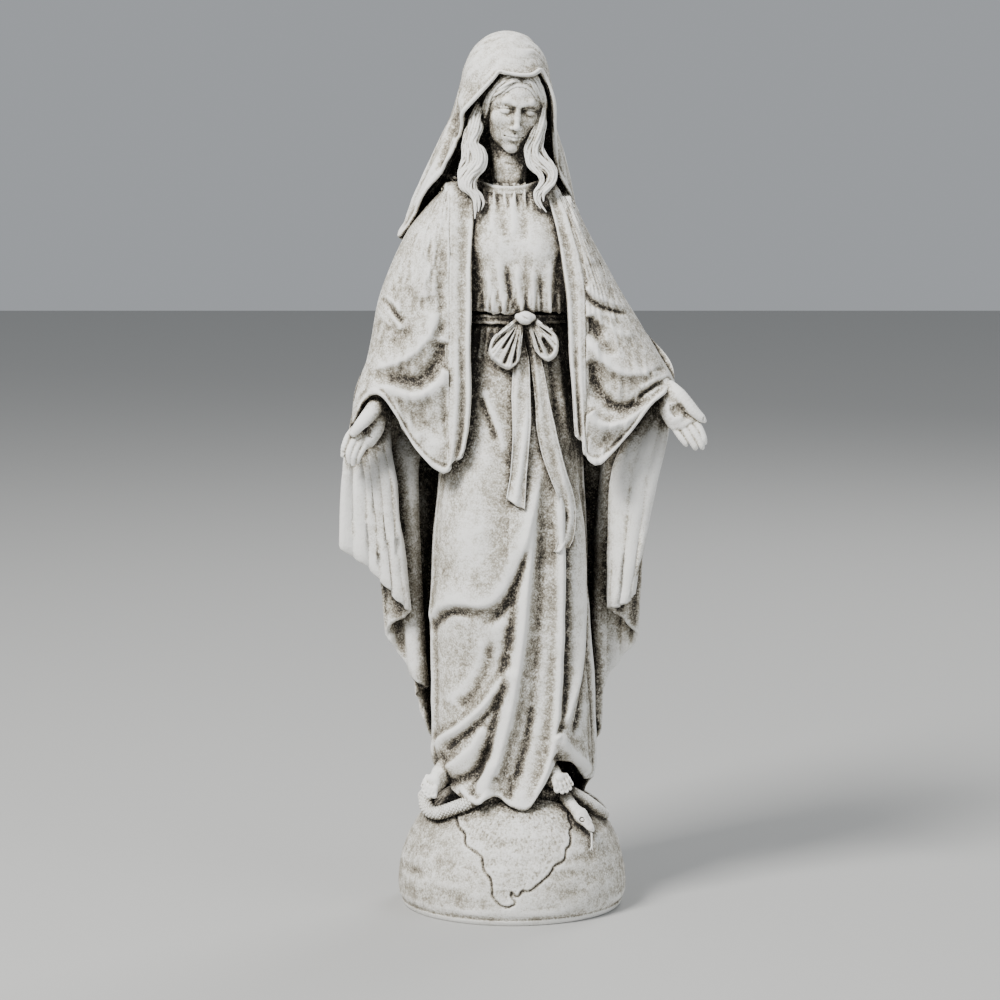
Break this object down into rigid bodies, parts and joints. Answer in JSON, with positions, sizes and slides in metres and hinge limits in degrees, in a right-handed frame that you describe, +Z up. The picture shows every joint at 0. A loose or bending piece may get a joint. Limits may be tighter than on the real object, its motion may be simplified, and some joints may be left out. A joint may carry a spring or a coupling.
{
  "type": "madonna statue",
  "caption": "Garden statue of a veiled standing Madonna with open hands, on a hollow half globe with a serpent, closed below by a plate with a ballast plug.",
  "frame": {"origin": "middle of the underside, on the floor plane", "axes": "+Z up to the crown of the veil, -Y the way the figure faces, +X towards the figure's left hand"},
  "size_m": [0.2509, 0.16, 0.61],
  "materials": {
    "stone_globe": "matte, sandy, stained darker in the hollows",
    "stone_skin": "matte, sandy, stained darker in the hollows",
    "stone_hair": "matte, sandy, stained darker in the hollows",
    "stone_gown": "matte, sandy, stained darker in the hollows",
    "stone_sash": "matte, sandy, stained darker in the hollows",
    "stone_mantle": "matte, sandy, stained darker in the hollows",
    "stone_veil": "matte, sandy, stained darker in the hollows",
    "stone_underside": "matte, plain casting face",
    "zinc_steel": "zinc plated",
    "rubber": "matte"
  },
  "bodies": {
    "statue": {"base_plate": "stone_underside", "bow_knot": "stone_sash", "bow_loop_left": "stone_sash", "bow_loop_right": "stone_sash", "globe_shell": "stone_globe", "gown_bodice": "stone_gown", "gown_collar": "stone_gown", "gown_skirt": "stone_gown", "hair_crown": "stone_hair", "hair_lock_left": "stone_hair", "hair_lock_right": "stone_hair", "head": "stone_skin", "left_arm": "stone_skin", "left_foot": "stone_skin", "left_hand": "stone_skin", "left_wrist_pin": "zinc_steel", "mantle_back": "stone_mantle", "mantle_band_left": "stone_mantle", "mantle_band_right": "stone_mantle", "mantle_drape_left": "stone_mantle", "mantle_drape_right": "stone_mantle", "neck_pin": "zinc_steel", "right_arm": "stone_skin", "right_foot": "stone_skin", "right_hand": "stone_skin", "right_wrist_pin": "zinc_steel", "sash_tail_left": "stone_sash", "sash_tail_right": "stone_sash", "sash_waistband": "stone_sash", "serpent_body": "stone_globe", "serpent_coil": "stone_globe", "serpent_head": "stone_globe", "shoulder_bulkhead": "stone_gown", "tie_rod": "zinc_steel", "tie_rod_nut": "zinc_steel", "tie_rod_upper_nut": "zinc_steel", "tie_rod_upper_washer": "zinc_steel", "tie_rod_washer": "zinc_steel", "veil": "stone_veil"},
    "ballast_plug": {"fill_plug": "rubber"}
  },
  "joints": [
    {"name": "plug_pull", "type": "slide", "parent": "statue", "child": "ballast_plug", "axis": [0, 0, -1], "range_m": [0, 0.04]}
  ]
}
